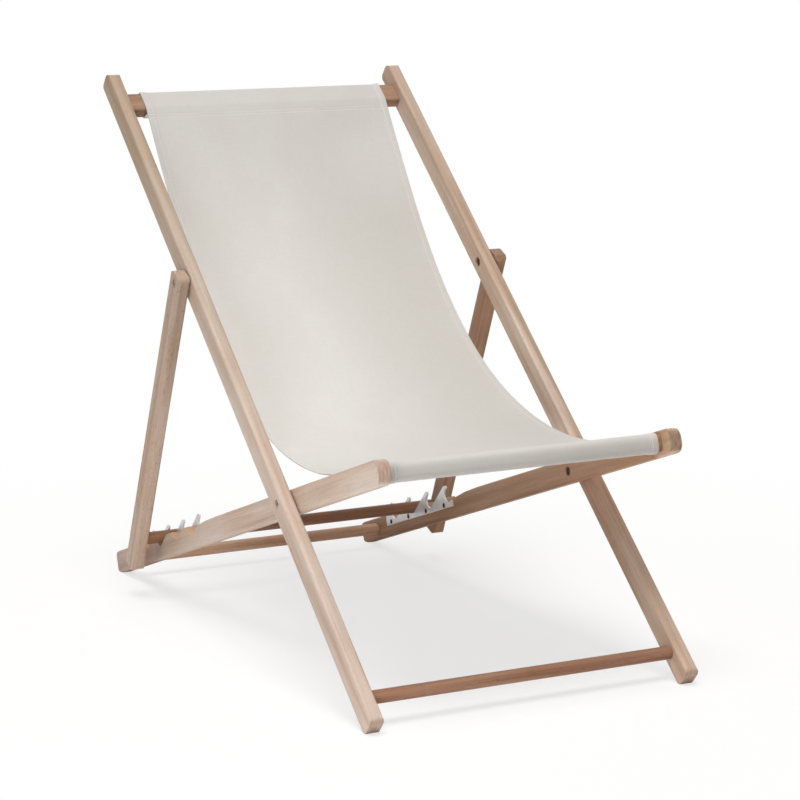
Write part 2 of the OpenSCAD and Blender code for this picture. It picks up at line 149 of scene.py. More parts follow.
# %% [markdown]
# The frames are steamed beech, planed, sanded and thinly oiled: pale pinkish brown,
# satin, with long soft growth bands and thousands of short dark flecks along the
# grain. A picture of a board could be laid on, but would repeat; noise stretched along
# the rail gives the same bands, streaks and flecks everywhere. Each pattern is about as
# wide and long as on the wood. Only the flecks, 2 mm long and too fine for this picture,
# are drawn about four times as large.

# %% Grain along a rail
GRAINS = {"bands": {"across_mm": 17, "along_mm": 420, "detail": 3, "roughness": 0.5, "distortion": 0.4},
          "streaks": {"across_mm": 2.2, "along_mm": 90, "detail": 3, "roughness": 0.6},
          "flecks": {"across_mm": 0.8, "along_mm": 9.0, "detail": 1, "roughness": 0.4},
          "clouds": {"across_mm": 60, "along_mm": 170, "detail": 2, "roughness": 0.5}}


def grain(tree, rail, across_mm, along_mm, detail, roughness, distortion=0.0):
    """Noise of a given size; 1000 / mm is how often it repeats in a metre."""
    scaled = add_node(tree, "ShaderNodeMapping", {
        "Vector": rail, "Scale": (1000 / across_mm, 1000 / along_mm, 1000 / across_mm)})
    return add_node(tree, "ShaderNodeTexNoise", {
        "Vector": scaled.outputs["Vector"], "Scale": 1.0, "Detail": detail,
        "Roughness": roughness, "Distortion": distortion}).outputs["Fac"]


print("grain patterns, longest first:", sorted(GRAINS, key=lambda name: -GRAINS[name]["along_mm"]))


# %% Colour of the long faces
FLECK, CLOUD = "#9C7B62", "#F0DCCB"


def side_wood(tree, grains, tones, flecked):
    """Bands between the board's pale, mid and dark tones, under streaks, flecks and clouds."""
    pale, mid, dark = (linear(tone) for tone in tones)
    bands = add_node(tree, "ShaderNodeValToRGB", {"Fac": grains["bands"]},
                     stops=[(0.30, dark), (0.47, mid), (0.66, pale)])
    colour = bands.outputs["Color"]
    for share, pattern, stops in (
            (0.45, "streaks", [(0.34, grey(0.78)), (0.52, grey(0.98)), (0.70, grey(1.06))]),
            (flecked, "flecks", [(0.28, linear(FLECK)), (0.37, grey(1.0))]),
            (0.60, "clouds", [(0.35, linear(CLOUD)), (0.65, grey(1.0))])):
        tint = add_node(tree, "ShaderNodeValToRGB", {"Fac": grains[pattern]}, stops=stops)
        colour = add_node(tree, "ShaderNodeMix", {
            "Factor": share, "A": colour, "B": tint.outputs["Color"]},
            data_type="RGBA", blend_type="MULTIPLY").outputs["Result"]
    return colour


def toned_along(tree, colour, t, toned):
    """The wood multiplied by painted shade that changes from place to place along the rail."""
    first, last = toned[0][0], toned[-1][0]
    share = add_node(tree, "ShaderNodeMapRange", {"Value": t, "From Min": first, "From Max": last})
    tone = add_node(tree, "ShaderNodeValToRGB", {"Fac": share.outputs["Result"]},
                    stops=[((place - first) / (last - first), linear(code)) for place, code in toned])
    return add_node(tree, "ShaderNodeMix", {
        "Factor": 1.0, "A": colour, "B": tone.outputs["Color"]},
        data_type="RGBA", blend_type="MULTIPLY").outputs["Result"]


print("a full fleck lets through", [round(v, 2) for v in linear(FLECK)[:3]], "of the light")

# %% [markdown]
# Across the end of a rail the pores show instead of the bands, so it drinks more oil and
# turns darker. The chair's ends have no meshes of their own. The direction in which a
# face looks tells the two apart: an end face looks along the rail.

# %% Colour of the ends
PORES_PER_METRE = (420, 90, 70)
PORES_LEAN = 0.2
SIDE_FACE, END_FACE = 0.40, 0.85


def end_share(tree, normal, turn):
    """0 on a face that runs along the rail, 1 on a face that looks along it."""
    facing = add_node(tree, "ShaderNodeVectorRotate", {
        "Vector": normal, "Rotation": turn}, rotation_type="EULER_XYZ", invert=True)
    along_rail = add_node(tree, "ShaderNodeSeparateXYZ", {"Vector": facing.outputs["Vector"]})
    size = add_node(tree, "ShaderNodeMath", {0: along_rail.outputs["Y"]}, operation="ABSOLUTE")
    return add_node(tree, "ShaderNodeMapRange", {
        "Value": size.outputs["Value"], "From Min": SIDE_FACE, "From Max": END_FACE},
        interpolation_type="SMOOTHSTEP").outputs["Result"]


def end_wood(tree, rail, t, end, mid, cut):
    """Pores between two tones, and in the cut stretch of the rail one brighter colour: warm end grain with
    painted light.
    """
    pores_place = add_node(tree, "ShaderNodeMapping", {
        "Vector": rail, "Rotation": (0, PORES_LEAN, 0), "Scale": PORES_PER_METRE})
    pores = add_node(tree, "ShaderNodeTexNoise", {
        "Vector": pores_place.outputs["Vector"], "Scale": 1.0, "Detail": 3.0, "Roughness": 0.65})
    wood = add_node(tree, "ShaderNodeValToRGB", {"Fac": pores.outputs["Fac"]},
                    stops=[(0.32, linear(end)), (0.88, linear(mid))]).outputs["Color"]
    if not cut:
        return wood
    from_t, to_t, scallop_light = cut
    inside = add_node(tree, "ShaderNodeMath", {
        0: t, 1: (from_t + to_t) / 2, 2: (to_t - from_t) / 2}, operation="COMPARE")
    return add_node(tree, "ShaderNodeMix", {
        "Factor": inside.outputs["Value"], "A": wood, "B": linear(scallop_light)},
        data_type="RGBA").outputs["Result"]


print("end wood on faces that look within", round(degrees(acos(END_FACE))), "degrees of the rail")

# %% [markdown]
# The whole board: its grain follows the rail, because the pattern is laid from the
# rail's own pivot and in its own direction. A Bevel node rounds the sharp CAD edges in
# shading alone, as sandpaper does on the real rails, and the mesh stays as it is. The
# thin oil has an IOR of 1.47 and leaves the wood satin, a little glossier on the pale
# streaks, where it soaks in less.

# %% Beech
MM = 0.001
EASED, GRAIN_RELIEF = 3 * MM, 0.5 * MM
OIL_IOR, DULL, GLOSSY = 1.47, 0.58, 0.47


def beech(name, start, turn, tones, flecked=0.5, cut=None, toned=()):
    """Tones run pale, mid, dark, end grain. A cut is two places and a colour, and toned
    is a list of places with the painted shade that the wood is multiplied by there."""
    material, tree = new_material(name)
    place = add_node(tree, "ShaderNodeTexCoord")
    rail = add_node(tree, "ShaderNodeMapping", {
        "Vector": place.outputs["Object"], "Location": start, "Rotation": turn},
        vector_type="TEXTURE").outputs["Vector"]
    t = add_node(tree, "ShaderNodeSeparateXYZ", {"Vector": rail}).outputs["Y"]
    grains = {pattern: grain(tree, rail, **sizes) for pattern, sizes in GRAINS.items()}
    pale, mid, dark, end = tones
    sides = side_wood(tree, grains, (pale, mid, dark), flecked)
    if toned:
        sides = toned_along(tree, sides, t, toned)
    colour = add_node(tree, "ShaderNodeMix", {
        "Factor": end_share(tree, place.outputs["Normal"], turn), "A": sides,
        "B": end_wood(tree, rail, t, end, mid, cut)}, data_type="RGBA")
    height = add_node(tree, "ShaderNodeMath", {0: grains["streaks"], 1: grains["flecks"]}, operation="ADD")
    eased = add_node(tree, "ShaderNodeBevel", {"Radius": EASED}, samples=6)
    bump = add_node(tree, "ShaderNodeBump", {
        "Height": height.outputs["Value"], "Strength": 0.20, "Distance": GRAIN_RELIEF,
        "Normal": eased.outputs["Normal"]})
    gloss = add_node(tree, "ShaderNodeMapRange", {
        "Value": grains["streaks"], "From Min": 0.3, "From Max": 0.7, "To Min": DULL, "To Max": GLOSSY})
    shader = add_node(tree, "ShaderNodeBsdfPrincipled", {
        "Base Color": colour.outputs["Result"], "Roughness": gloss.outputs["Result"],
        "IOR": OIL_IOR, "Specular IOR Level": 0.4, "Normal": bump.outputs["Normal"]})
    add_node(tree, "ShaderNodeOutputMaterial", {"Surface": shader.outputs["BSDF"]})
    return material


print("edges eased by", EASED / MM, "mm, grain", GRAIN_RELIEF / MM, "mm deep")

# %% [markdown]
# No two boards are alike. Each rail gets its own place in the pattern and its own
# shade: the left-hand boards are pale and cool, the right-hand ones browner. The
# scallops of the seat rails get a warmer, brighter colour: warm end grain, with painted
# light where the cut faces catch the light. Along the rails, painted shade darkens the
# upper part of the long rails, where less light reaches, the right main rail under the
# seat, the left seat rail where the prop leg's shadow falls on it, the left prop leg near
# its pivot, and the right seat rail in the cloth's shade all along but for its lit tip.
# Each such change is a list of places, in metres from the pivot, and the tones found there.

# %% Tones of the boards
PALE = ("#D6C7BB", "#CBB9AB", "#B8A494", "#A68A76")
COOL = ("#CFBBAB", "#C2AB98", "#AD9581", "#AE9480")
WARM = ("#D8C6B6", "#C8B19E", "#AF9783", "#A08570")
# The right prop leg's darker brown is partly its own tone and partly painted shade of the chair's inside.
BROWN_PARTLY_SHADED = ("#B9967A", "#A88468", "#936F55", "#7E6253")
# The right seat rail's own tones, seen at its lit tip; the rest is darkened by painted shade.
RIGHT_SEAT_TONES = ("#DAC1A6", "#C7AA8E", "#AE9075", "#7E6253")
# The scallops' cut faces: warm end grain, brightened as painted light where they catch the light.
LIT_SCALLOPS = (0.380, 0.665, "#C9A281")
# Painted shade along the rails: places in metres from the pivot, and the tone the wood is multiplied by
# there.
PAINTED_SHADE_ALONG = {
    "main_rail_left": [(0.08, "#FFFFFF"), (0.70, "#E0D8CA")],
    "main_rail_right": [(-0.27, "#FFFFFF"), (-0.11, "#DAC8BC"), (0.0, "#DAC8BC"), (0.06, "#FFFFFF"),
                        (0.22, "#FFFFFF"), (0.80, "#EDEAE8")],
    "seat_rail_left": [(0.38, "#FFFFFF"), (0.50, "#F3EFE7"), (0.54, "#F3EFE7"), (0.60, "#CBAFA7"),
                       (0.655, "#C6A9A1"), (0.69, "#F3EEEE"), (0.76, "#E7DCDB")],
    "seat_rail_right": [(-0.268, "#FFFFFF"), (-0.255, "#D8C7BE")],
    "prop_leg_left": [(0.0, "#E8EAEC"), (0.30, "#FFFFFF")]}
print("toned along their length:", list(PAINTED_SHADE_ALONG))

# %% One board for each rail
RAILS = {
    "main_rail_left": (SEAT_PIVOT, MAIN_SLOPE, PALE), "main_rail_right": (SEAT_PIVOT, MAIN_SLOPE, WARM),
    "seat_rail_left": (SEAT_PIVOT, SEAT_SLOPE, PALE), "seat_rail_right": (SEAT_PIVOT, SEAT_SLOPE, RIGHT_SEAT_TONES),
    "prop_leg_left": (PROP_PIVOT, PROP_SLOPE, COOL), "prop_leg_right": (PROP_PIVOT, PROP_SLOPE, BROWN_PARTLY_SHADED)}
NEXT_BOARD = 0.37
FLECKED = {"prop_leg_left": 0.65}
FEW_FLECKS = 0.3
boards = {}
for k, (name, (start, slope, tones)) in enumerate(RAILS.items()):
    boards[name] = beech("oiled_beech_" + name, (NEXT_BOARD * k, start.y, start.z), (slope, 0, 0), tones,
                         flecked=FLECKED.get(name, FEW_FLECKS),
                         cut=LIT_SCALLOPS if name.startswith("seat_rail") else None,
                         toned=PAINTED_SHADE_ALONG.get(name, ()))
print(len(boards), "rails, each with its own grain")

# %% [markdown]
# The bars and rungs were turned or moulded from darker strips of the same wood and run
# across the chair, so their grain is turned a quarter about the upright axis.

# %% Beech of the cross bars
BARS = {"top_bar": ("#AF9078", "#9F7F67", "#896951", "#8C6A52"),
        "foot_rung": ("#A98369", "#9A735B", "#845D47", "#84644C"),
        "front_bar": ("#A98A70", "#98785E", "#80614A", "#8C6A52"),
        # The rear rung's paler tones are painted light, lifting it out of the shade under the seat.
        "rear_rung": ("#D6B298", "#C9A286", "#B1896C", "#84644C"),
        "prop_rung": ("#A47C61", "#936A50", "#7C563E", "#7A5A44")}
for name, tones in BARS.items():
    boards[name] = beech("oiled_beech_" + name, middle(name), (0, 0, -pi / 2), tones)
print(len(BARS), "cross bars")

# %% [markdown]
# The metal is plain hardware. The racks are steel plates with a pale satin nickel
# finish, bolts and washers are zinc plated, and the rack screws are blackened: pale
# plates with dark points in them. The nuts and the threaded ends sit in the bolt holes,
# and their dull brown is painted shade. Plating is never even, so a soft cloud changes how
# sharply it shines, and a fine grain roughens it by a few hundredths of a millimetre.

# %% Metal
PLATING, PLATING_SHARE = (0.86, 1.04), 0.5


def shaded_thread_ends(tree, place, shade, threads):
    """Painted shade on the threaded ends in the bolt holes, told by their distance from the middle."""
    begin, hole_shade = threads
    sideways = add_node(tree, "ShaderNodeSeparateXYZ", {"Vector": place})
    out_by = add_node(tree, "ShaderNodeMath", {0: sideways.outputs["X"]}, operation="ABSOLUTE")
    inside = add_node(tree, "ShaderNodeMath", {0: out_by.outputs["Value"], 1: begin}, operation="LESS_THAN")
    return add_node(tree, "ShaderNodeMix", {
        "Factor": inside.outputs["Value"], "A": shade, "B": linear(hole_shade)}, data_type="RGBA").outputs["Result"]


def metal(name, colour, metallic, rough, cloud_mm, grain_mm, depth_mm, threads=None):
    """Rough is the least and the most. Threads are how far from the middle they begin, and the colour of
    their painted shade.
    """
    material, tree = new_material(name)
    place = add_node(tree, "ShaderNodeTexCoord").outputs["Object"]
    cloud = add_node(tree, "ShaderNodeTexNoise", {
        "Vector": place, "Scale": 1000 / cloud_mm, "Detail": 3.0}).outputs["Fac"]
    uneven = add_node(tree, "ShaderNodeValToRGB", {"Fac": cloud},
                      stops=[(0.3, grey(PLATING[0])), (0.7, grey(PLATING[1]))])
    shade = add_node(tree, "ShaderNodeMix", {
        "Factor": PLATING_SHARE, "A": linear(colour), "B": uneven.outputs["Color"]},
        data_type="RGBA", blend_type="MULTIPLY").outputs["Result"]
    if threads:
        shade = shaded_thread_ends(tree, place, shade, threads)
    roughness = add_node(tree, "ShaderNodeMapRange", {
        "Value": cloud, "From Min": 0.3, "From Max": 0.7, "To Min": rough[0], "To Max": rough[1]})
    fine = add_node(tree, "ShaderNodeTexNoise", {"Vector": place, "Scale": 1000 / grain_mm, "Detail": 1.0})
    bump = add_node(tree, "ShaderNodeBump", {
        "Height": fine.outputs["Fac"], "Strength": 0.3, "Distance": depth_mm * MM})
    shader = add_node(tree, "ShaderNodeBsdfPrincipled", {
        "Base Color": shade, "Metallic": metallic,
        "Roughness": roughness.outputs["Result"], "Normal": bump.outputs["Normal"]})
    add_node(tree, "ShaderNodeOutputMaterial", {"Surface": shader.outputs["BSDF"]})
    return material


print("plating varies by", round(100 * PLATING_SHARE * (PLATING[1] - PLATING[0])), "%")

# %% Hardware finishes
rack_coat = metal("satin_nickel_rack_steel", "#EFEFF1", metallic=0.40, rough=(0.28, 0.38),
                  cloud_mm=18, grain_mm=0.8, depth_mm=0.06)
bolt_zinc = metal("zinc_plated_bolt_steel", "#BDB8AF", metallic=1.0, rough=(0.30, 0.46),
                  cloud_mm=6, grain_mm=0.6, depth_mm=0.04, threads=(0.256, "#54463C"))
# The nuts' dark brown is painted shade of the bolt holes they sit in.
nut_in_shade = metal("nut_steel_in_painted_shade", "#57493F", metallic=1.0, rough=(0.40, 0.55),
                 cloud_mm=6, grain_mm=0.6, depth_mm=0.04)
pin_steel = metal("bright_pin_steel", "#A3A3A5", metallic=1.0, rough=(0.28, 0.40),
                  cloud_mm=5, grain_mm=0.5, depth_mm=0.03)
screw_black = metal("blackened_screw_steel", "#2E2C2D", metallic=0.6, rough=(0.40, 0.55),
                    cloud_mm=4, grain_mm=0.5, depth_mm=0.04)
print("metals:", [m.name for m in (rack_coat, bolt_zinc, nut_in_shade, pin_steel, screw_black)])

# %% [markdown]
# Every rigid piece of the CAD model takes its finish as its only material. The meshes
# aren't touched, so the pieces fit each other as they were built.

# %% Dress the CAD nodes
FINISHES = {
    **boards, "rack_left": rack_coat, "rack_right": rack_coat, "rack_screws": screw_black,
    "seat_bolts": bolt_zinc, "prop_bolts": bolt_zinc, "seat_nuts": nut_in_shade, "prop_nuts": nut_in_shade,
    "seat_washers": bolt_zinc, "prop_washers": bolt_zinc,
    "main_pins": pin_steel, "seat_pins": pin_steel, "prop_pins": pin_steel}
for node_name, finish in FINISHES.items():
    NODES[node_name].data.materials.clear()
    NODES[node_name].data.materials.append(finish)
print("dressed", len(FINISHES), "nodes")

# %% [markdown]
# The sling is one strip of canvas. It starts at the seam behind the back, goes round
# the flat top bar, hangs down the back, lies under the sitter, goes round the front
# bar and ends at a second seam under the seat. The side view of that strip is one open
# line, so it is drawn first: round the bars as a thread pulled tight, and between them
# as two smooth curves that meet at the lowest point. All of it is the middle of the
# cloth's thickness. The bars are measured on the CAD pieces, to a tenth of a millimetre.

# %% Bars that carry the cloth
TOP_ROUND, FRONT_ROUND = 0.004, 0.008


def bar_on_rails(node, slope):
    """A bar's centre and half sizes, along the rails that carry it and square to them."""
    corners = np.array([vertex.co for vertex in NODES[node].data.vertices])
    y, z = corners[:, 1] - SEAT_PIVOT.y, corners[:, 2] - SEAT_PIVOT.z
    flat = np.column_stack([y * cos(slope) + z * sin(slope), z * cos(slope) - y * sin(slope)])
    low, high = flat.min(axis=0), flat.max(axis=0)
    return ((low + high) / 2).round(4), ((high - low) / 2).round(4)


TOP_BAR, TOP_HALF = bar_on_rails("top_bar", MAIN_SLOPE)
FRONT_BAR, FRONT_HALF = bar_on_rails("front_bar", SEAT_SLOPE)
print("top bar", 2 * TOP_HALF / MM, "mm at", TOP_BAR, "front bar", 2 * FRONT_HALF / MM, "mm at", FRONT_BAR)

# %% Sizes of the cloth
CLOTH = 1.2 * MM
OFF_BAR = 1.2 * MM
UNDER_PANEL = 1.35 * CLOTH
SEAM_TOP_DEPTH, SEAM_FRONT_T = 0.019, -0.2375
TURNED_END, FRONT_FLAT = 0.009, 0.012
print("cloth", CLOTH / MM, "mm thick, middle line", OFF_BAR / MM, "mm off the bars")


# %% Lines in the side view
def on_frame(t, n, slope):
    """A place t along a rail and n above it, as y and z of the chair."""
    return np.array([SEAT_PIVOT.y + t * cos(slope) - n * sin(slope),
                     SEAT_PIVOT.z + t * sin(slope) + n * cos(slope)])


def arc(centre, radius, start, stop, steps):
    """Points on a circle from one angle to another, in degrees."""
    return [(centre[0] + radius * cos(radians(a)), centre[1] + radius * sin(radians(a)))
            for a in np.linspace(start, stop, steps)]


def bezier(points, steps):
    """Points on the curve of two ends and the two handles between them."""
    a, b, c, d = (np.array(p) for p in points)
    return [(1 - u) ** 3 * a + 3 * (1 - u) ** 2 * u * b + 3 * (1 - u) * u * u * c + u ** 3 * d
            for u in np.linspace(0, 1, steps)]


def along(line):
    """The way run along a line at each of its points."""
    return np.concatenate([[0], np.cumsum(np.hypot(*np.diff(line, axis=0).T))])


def outward(line):
    """The direction away from the sitter's side at each point of a line."""
    step = np.gradient(line, axis=0)
    step /= np.linalg.norm(step, axis=1)[:, None]
    return np.column_stack([step[:, 1], -step[:, 0]])


def bar_frame(bar, half, rounding):
    """Low and high centres of a bar's rounded corners, and the cloth's radius round them."""
    (t, n), (half_t, half_n) = bar, half
    return (t - half_t + rounding, t + half_t - rounding,
            n - half_n + rounding, n + half_n - rounding, rounding + OFF_BAR)


print("top bar at", on_frame(*TOP_BAR, MAIN_SLOPE).round(4), "front bar at",
      on_frame(*FRONT_BAR, SEAT_SLOPE).round(4))

# %% [markdown]
# Between the bars the load shapes the cloth: it leaves the top bar steeply, is level at
# its lowest point and rises to the front bar. Two Bezier curves say just that with
# their end points and directions, and how far each handle pulls sets how full the bag is.
# The lowest point is given as y and z from the seat pivot.

# %% The panel between the bars
LOW_POINT = (-0.015, 0.054)
BACK_LEAVES, LAP_RISES = radians(57.7), radians(3)
BACK_PULL, LOW_PULL, LAP_PULL = 0.43, 0.35, 0.33
START_BEFORE_CORNER = 0.001
HANG_POINTS, LIE_POINTS = 200, 80


def panel_line():
    low_t, _, _, high_n, radius = bar_frame(TOP_BAR, TOP_HALF, TOP_ROUND)
    start = on_frame(low_t - START_BEFORE_CORNER, high_n + radius, MAIN_SLOPE)
    low = np.array([SEAT_PIVOT.y + LOW_POINT[0], SEAT_PIVOT.z + LOW_POINT[1]])
    _, _, _, high_n, radius = bar_frame(FRONT_BAR, FRONT_HALF, FRONT_ROUND)
    stop = on_frame(SEAM_FRONT_T, high_n + radius, SEAT_SLOPE)
    back, lap = np.linalg.norm(start - low), np.linalg.norm(low - stop)
    arrive = SEAT_SLOPE + LAP_RISES
    hang = bezier([start, start - BACK_PULL * back * np.array([cos(BACK_LEAVES), sin(BACK_LEAVES)]),
                   low + np.array([LOW_PULL * back, 0]), low], HANG_POINTS)
    lie = bezier([low, low - np.array([LAP_PULL * lap, 0]),
                  stop + LAP_PULL * lap * np.array([cos(arrive), sin(arrive)]), stop], LIE_POINTS)
    return np.array(hang + lie[1:])


panel = panel_line()
panel_length = along(panel)[-1]
print("panel", round(float(panel_length), 4), "m between the seams")


# %% The loops round the bars
def under_layer(line, places):
    """Points just behind the panel, where the turned end is sewn to it."""
    run, behind = along(line), line - UNDER_PANEL * outward(line)
    return [np.array([np.interp(place, run, behind[:, k]) for k in (0, 1)]) for place in places]


low_t, high_t, low_n, high_n, radius = bar_frame(TOP_BAR, TOP_HALF, TOP_ROUND)
top_loop = under_layer(panel, (SEAM_TOP_DEPTH, SEAM_TOP_DEPTH - TURNED_END)) + [
    on_frame(t, n, MAIN_SLOPE)
    for t, n in arc((low_t, low_n), radius, 230, 270, 6) + arc((high_t, low_n), radius, 270, 360, 12)
    + arc((high_t, high_n), radius, 0, 90, 12)]
low_t, high_t, low_n, high_n, radius = bar_frame(FRONT_BAR, FRONT_HALF, FRONT_ROUND)
front_loop = [on_frame(t, n, SEAT_SLOPE)
              for t, n in [(SEAM_FRONT_T - FRONT_FLAT, high_n + radius), (high_t, high_n + radius)]
              + arc((low_t, high_n), radius, 90, 180, 14) + arc((low_t, low_n), radius, 180, 270, 14)
              + arc((high_t, low_n), radius, 270, 316, 7)]
front_loop += under_layer(panel, (panel_length - TURNED_END, panel_length))
print(len(top_loop), "points round the top bar and", len(front_loop), "round the front bar")

# %% The whole side view
POINT_STEP, SMOOTHINGS = 0.001, 6
whole = np.vstack([top_loop, panel, front_loop])
coarse_run = along(whole)
fine_run = np.arange(0, coarse_run[-1], POINT_STEP)
line = np.column_stack([np.interp(fine_run, coarse_run, whole[:, k]) for k in (0, 1)])
for _ in range(SMOOTHINGS):
    line[1:-1] = 0.25 * line[:-2] + 0.5 * line[1:-1] + 0.25 * line[2:]
run = along(line)
CLOTH_LENGTH = float(run[-1])
PANEL_START = float(coarse_run[len(top_loop)])
PANEL_STOP = PANEL_START + float(panel_length)
print("strip", round(CLOTH_LENGTH, 4), "m long, the panel begins at", round(PANEL_START, 4), "m")

# %% [markdown]
# The canvas is heavy unbleached cotton in plain weave. Its threads are 0.6 mm apart,
# finer than a pixel here, so the weave is drawn at 1.6 mm and kept faint. Thick and
# thin places in the yarn (slubs) give long weak streaks both ways. The pattern reads
# the cloth's own map, in metres across and along, so it follows every bend.

# %% Threads and slubs of the weave
WEAVE_MM = 1.6
SLUB_MM = (1.8, 26)
STAIN_MM = (210, 260)


def threads(tree, place):
    """Waves one thread apart."""
    turns = add_node(tree, "ShaderNodeMath", {0: place, 1: 2 * pi * 1000 / WEAVE_MM}, operation="MULTIPLY")
    return add_node(tree, "ShaderNodeMath", {0: turns.outputs["Value"]}, operation="SINE").outputs["Value"]


def patches(tree, cloth, across_mm, along_mm):
    """Noise of a given size on the flat cloth."""
    scaled = add_node(tree, "ShaderNodeMapping", {
        "Vector": cloth, "Scale": (1000 / across_mm, 1000 / along_mm, 1)})
    return add_node(tree, "ShaderNodeTexNoise", {
        "Vector": scaled.outputs["Vector"], "Scale": 1.0, "Detail": 2.0, "Roughness": 0.6},
        noise_dimensions="2D").outputs["Fac"]


def yarn_thickness(tree, cloth):
    thin, long = SLUB_MM
    both = add_node(tree, "ShaderNodeMath", {
        0: patches(tree, cloth, thin, long), 1: patches(tree, cloth, long, thin)}, operation="ADD")
    return add_node(tree, "ShaderNodeMath", {0: both.outputs["Value"], 1: 0.5}, operation="MULTIPLY")


print("weave drawn at", WEAVE_MM, "mm")

# %% [markdown]
# Thin cloth glows a little with the light behind it. Round the bars there is wood behind
# it, so the sleeves and the cloth just below the top bar are darker. A translucent shader
# would show that too, but with more noise in the picture and less say over how dark they
# get, so a painted shade is laid over the plain colour. The right-hand side of the panel
# gets less light, so a second painted shade makes it a little greyer. Both shades fade in
# along the cloth's map.

# %% Where the cloth is shaded
TOP_SHADE_SHARE = 0.42
TOP_SHADE = (PANEL_START + 0.35, PANEL_START - 0.010)
FRONT_SHADE = (PANEL_STOP + 0.036, PANEL_STOP + 0.060)
RIGHT_SHADE_ACROSS = (-0.10, 0.20)
RIGHT_SHADE_FROM = (PANEL_START + 0.08, PANEL_START + 0.28)
RIGHT_SHADE_TO = (PANEL_STOP - 0.02, PANEL_STOP - 0.22)


def fade(tree, place, ends, full=1.0):
    """0 at the first end and full at the second, with a soft change between."""
    return add_node(tree, "ShaderNodeMapRange", {
        "Value": place, "From Min": ends[0], "From Max": ends[1], "To Max": full},
        interpolation_type="SMOOTHSTEP").outputs["Result"]


def shade_shares(tree, cloth):
    """How much the painted shade of the sleeves and of the right-hand side shows at a place on the cloth."""
    flat = add_node(tree, "ShaderNodeSeparateXYZ", {"Vector": cloth}).outputs
    backed = add_node(tree, "ShaderNodeMath", {
        0: fade(tree, flat["Y"], TOP_SHADE, TOP_SHADE_SHARE), 1: fade(tree, flat["Y"], FRONT_SHADE)},
        operation="MAXIMUM")
    below = add_node(tree, "ShaderNodeMath", {
        0: fade(tree, flat["X"], RIGHT_SHADE_ACROSS), 1: fade(tree, flat["Y"], RIGHT_SHADE_FROM)}, operation="MULTIPLY")
    shadier = add_node(tree, "ShaderNodeMath", {
        0: below.outputs["Value"], 1: fade(tree, flat["Y"], RIGHT_SHADE_TO)}, operation="MULTIPLY")
    return backed.outputs["Value"], shadier.outputs["Value"]


print("front shade covers the last", round((CLOTH_LENGTH - FRONT_SHADE[0]) / MM), "mm of the strip")

# %% Colour of the cloth
# Painted shade: the sleeves, the cloth below the top bar and the right-hand side of the panel are dimmed.
SLEEVE_SHADE, RIGHT_SIDE_SHADE, YELLOWED = "#D4D3D2", "#EEEEED", "#F6F2EC"
YELLOWED_SHARE = 0.35


def cloth_colour(tree, cloth, yarn):
    colour = add_node(tree, "ShaderNodeValToRGB", {"Fac": yarn}, stops=[
        (0.36, linear("#DCDAD5")), (0.50, linear("#DEDCD8")), (0.64, linear("#E0DEDA"))]).outputs["Color"]
    stains = add_node(tree, "ShaderNodeValToRGB", {"Fac": patches(tree, cloth, *STAIN_MM)}, stops=[
        (0.35, linear(YELLOWED)), (0.65, grey(1.0))]).outputs["Color"]
    backed, shadier = shade_shares(tree, cloth)
    for share, shade in (
            (YELLOWED_SHARE, stains), (backed, linear(SLEEVE_SHADE)), (shadier, linear(RIGHT_SIDE_SHADE))):
        colour = add_node(tree, "ShaderNodeMix", {"Factor": share, "A": colour, "B": shade},
                          data_type="RGBA", blend_type="MULTIPLY").outputs["Result"]
    return colour


print("sleeves are dimmed to", round(linear(SLEEVE_SHADE)[0], 2), "and the worn side to",
      round(linear(RIGHT_SIDE_SHADE)[0], 2))

# %% [markdown]
# The finished canvas is dull, and raised fibres give it a sheen at grazing angles. Its
# relief is a tenth of a millimetre, so a bump shows it and the mesh stays light.

# %% Canvas
RELIEF = 0.1 * MM


def canvas_weave():
    material, tree = new_material("unbleached_cotton_canvas")
    cloth = add_node(tree, "ShaderNodeUVMap", uv_map="UVMap").outputs["UV"]
    flat = add_node(tree, "ShaderNodeSeparateXYZ", {"Vector": cloth}).outputs
    weave = add_node(tree, "ShaderNodeMath", {
        0: threads(tree, flat["X"]), 1: threads(tree, flat["Y"])}, operation="MULTIPLY")
    yarn = yarn_thickness(tree, cloth).outputs["Value"]
    relief = add_node(tree, "ShaderNodeMath", {
        0: weave.outputs["Value"], 1: 0.5, 2: yarn}, operation="MULTIPLY_ADD")
    bump = add_node(tree, "ShaderNodeBump", {
        "Height": relief.outputs["Value"], "Strength": 0.10, "Distance": RELIEF})
    shader = add_node(tree, "ShaderNodeBsdfPrincipled", {
        "Base Color": cloth_colour(tree, cloth, yarn), "Roughness": 0.88, "IOR": 1.45,
        "Specular IOR Level": 0.25, "Sheen Weight": 0.25, "Sheen Roughness": 0.5,
        "Normal": bump.outputs["Normal"]})
    add_node(tree, "ShaderNodeOutputMaterial", {"Surface": shader.outputs["BSDF"]})
    return material


canvas = canvas_weave()
print(canvas.name, "has", len(canvas.node_tree.nodes), "nodes")

# %% [markdown]
# Cloth looks like cloth because of small things: the turned hems are three layers
# thick, the sewing pulls a groove into them, the middle hangs a little lower than the
# edges, one side is pulled a touch tighter, and shallow folds run from the corner that
# carries the load. Each is a height over the smooth strip and fades out at the bars,
# which hold the cloth straight. A simulation would find much the same shape for a strip
# that is held at both ends, so the shape is set directly and stays the same each time.
# Rows lie close together where the strip bends and beside the seams, and columns lie
# close together in the hems.

